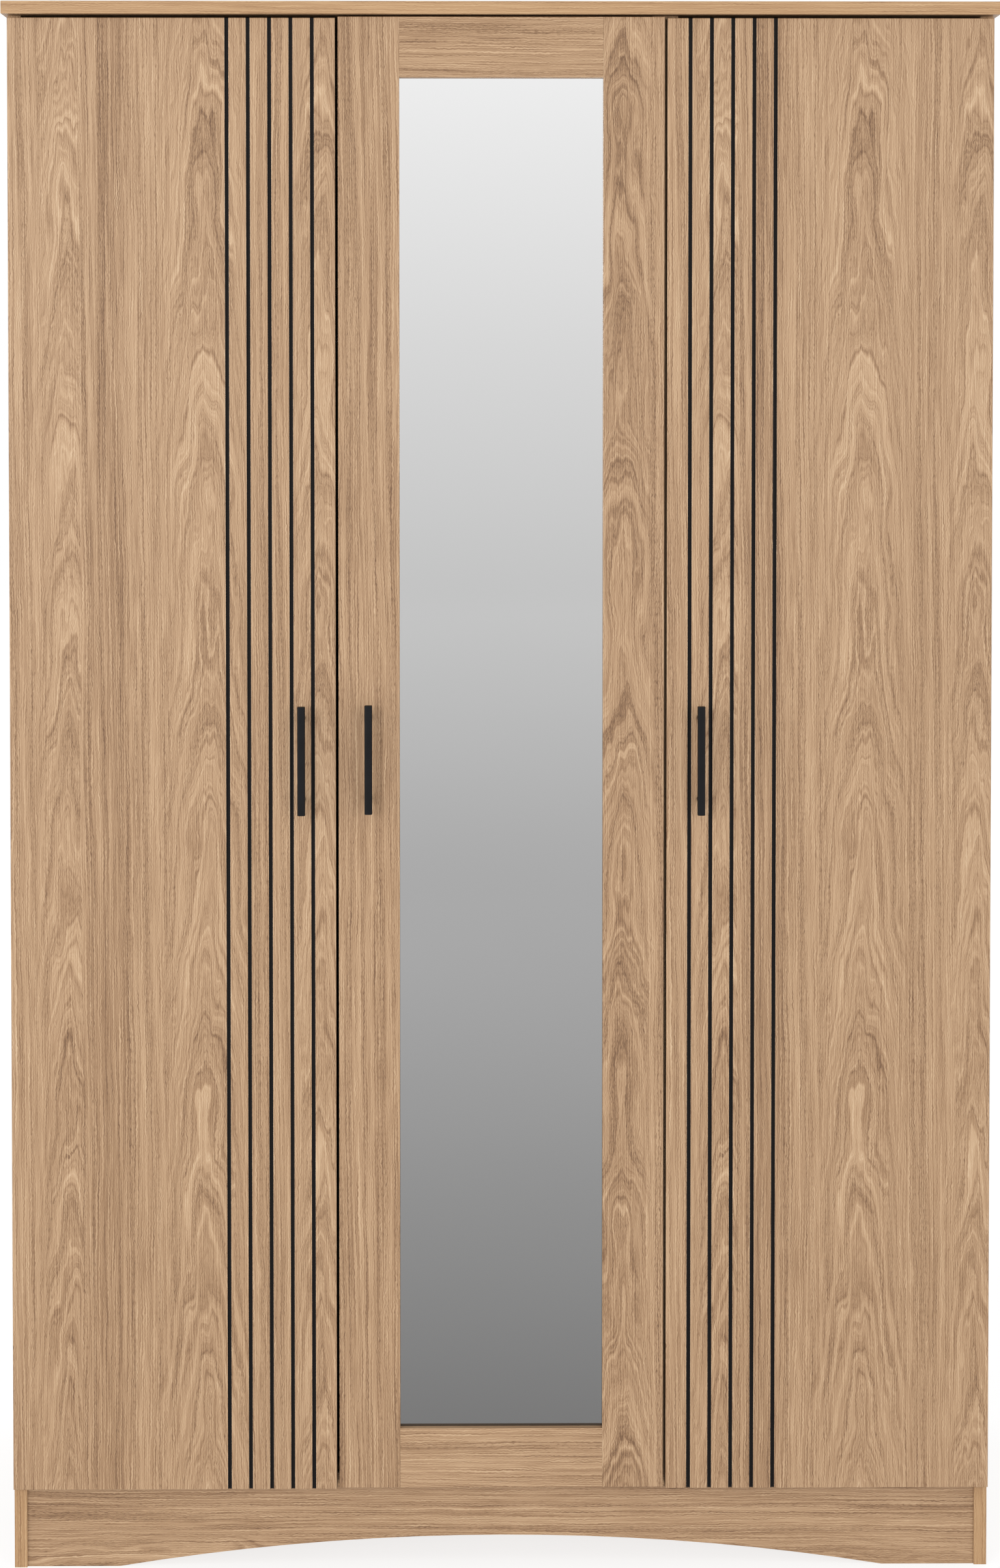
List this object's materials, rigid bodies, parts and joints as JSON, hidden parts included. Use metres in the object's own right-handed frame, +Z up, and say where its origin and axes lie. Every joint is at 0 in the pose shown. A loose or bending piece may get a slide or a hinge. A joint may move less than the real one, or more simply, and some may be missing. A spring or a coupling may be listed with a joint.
{
  "type": "wardrobe with doors",
  "caption": "Tall board wardrobe with grooved outer doors, a mirrored middle door, slim bar handles, an arched plinth, a hanging space and a shelved bay.",
  "frame": {"origin": "on the floor, below the centre of the bounding box", "axes": "+X to the right when facing the doors, +Y to the back, +Z up"},
  "size_m": [1.17, 0.523, 1.86],
  "materials": {
    "oak_board": "satin oak-pattern foil on board",
    "oak_door": "satin oak-pattern foil, black painted grooves",
    "back_board": "thin printed fibreboard",
    "mirror": "silvered float glass",
    "black_handle": "satin black powder coat",
    "dowel_wood": "raw beech",
    "white_plastic": "matt extrusion",
    "clear_rubber": "soft clear",
    "chrome": "polished tube",
    "zinc_steel": "zinc plated",
    "bright_steel": "nickel plated"
  },
  "bodies": {
    "carcass": {"back_panel_joiner": "white_plastic", "back_panel_left": "back_board", "back_panel_middle": "back_board", "back_panel_nails": "bright_steel", "back_panel_right": "back_board", "bottom_panel": "oak_board", "cam_bolts": "bright_steel", "cam_locks": "zinc_steel", "centre_partition": "oak_board", "door_bumpers": "clear_rubber", "hanging_rail": "chrome", "hat_shelf": "oak_board", "hinge_arm_screws": "bright_steel", "hinge_arms": "bright_steel", "hinge_mounting_plates": "bright_steel", "left_side_panel": "oak_board", "partition_hinge_batten": "oak_board", "plinth_centre_brace": "oak_board", "plinth_front": "oak_board", "plinth_rear": "oak_board", "rail_end_sockets": "zinc_steel", "right_shelf_1": "oak_board", "right_shelf_2": "oak_board", "right_shelf_3": "oak_board", "right_shelf_4": "oak_board", "right_side_panel": "oak_board", "shelf_pins": "bright_steel", "top_board": "oak_board", "wall_brackets": "zinc_steel", "wood_screws": "bright_steel", "wooden_dowels": "dowel_wood"},
    "left_links": {"left_hinge_links": "bright_steel", "left_hinge_pins": "bright_steel"},
    "left_door": {"left_cup_screws": "bright_steel", "left_door_panel": "oak_door", "left_handle": "black_handle", "left_handle_screws": "bright_steel", "left_hinge_cups": "bright_steel"},
    "middle_links": {"middle_hinge_links": "bright_steel", "middle_hinge_pins": "bright_steel"},
    "middle_door": {"middle_cup_screws": "bright_steel", "middle_door_bottom_rail": "oak_door", "middle_door_dowels": "dowel_wood", "middle_door_left_stile": "oak_door", "middle_door_right_stile": "oak_door", "middle_door_top_rail": "oak_door", "middle_handle": "black_handle", "middle_handle_screws": "bright_steel", "middle_hinge_cups": "bright_steel", "mirror_backing": "back_board", "mirror_glass": "mirror"},
    "right_links": {"right_hinge_links": "bright_steel", "right_hinge_pins": "bright_steel"},
    "right_door": {"right_cup_screws": "bright_steel", "right_door_panel": "oak_door", "right_handle": "black_handle", "right_handle_screws": "bright_steel", "right_hinge_cups": "bright_steel"}
  },
  "joints": [
    {"name": "left_hinge_link_turn", "type": "hinge", "parent": "carcass", "child": "left_links", "pos_m": [-0.5445, -0.2145, 0.97], "axis": [0, 0, 1], "range_deg": [0, 47.5]},
    {"name": "left_door_swing", "type": "hinge", "parent": "left_links", "child": "left_door", "pos_m": [-0.5665, -0.2215, 0.97], "axis": [0, 0, -1], "range_deg": [0, 142.5]},
    {"name": "middle_hinge_link_turn", "type": "hinge", "parent": "carcass", "child": "middle_links", "pos_m": [0.15783, -0.2145, 0.97], "axis": [0, 0, -1], "range_deg": [0, 47.5]},
    {"name": "middle_door_swing", "type": "hinge", "parent": "middle_links", "child": "middle_door", "pos_m": [0.17983, -0.2215, 0.97], "axis": [0, 0, 1], "range_deg": [0, 142.5]},
    {"name": "right_hinge_link_turn", "type": "hinge", "parent": "carcass", "child": "right_links", "pos_m": [0.5445, -0.2145, 0.97], "axis": [0, 0, -1], "range_deg": [0, 47.5]},
    {"name": "right_door_swing", "type": "hinge", "parent": "right_links", "child": "right_door", "pos_m": [0.5665, -0.2215, 0.97], "axis": [0, 0, 1], "range_deg": [0, 142.5]}
  ],
  "couplings": [
    {"joint": "left_hinge_link_turn", "follows": "left_door_swing", "ratio": 0.33333},
    {"joint": "middle_hinge_link_turn", "follows": "middle_door_swing", "ratio": 0.33333},
    {"joint": "right_hinge_link_turn", "follows": "right_door_swing", "ratio": 0.33333}
  ]
}
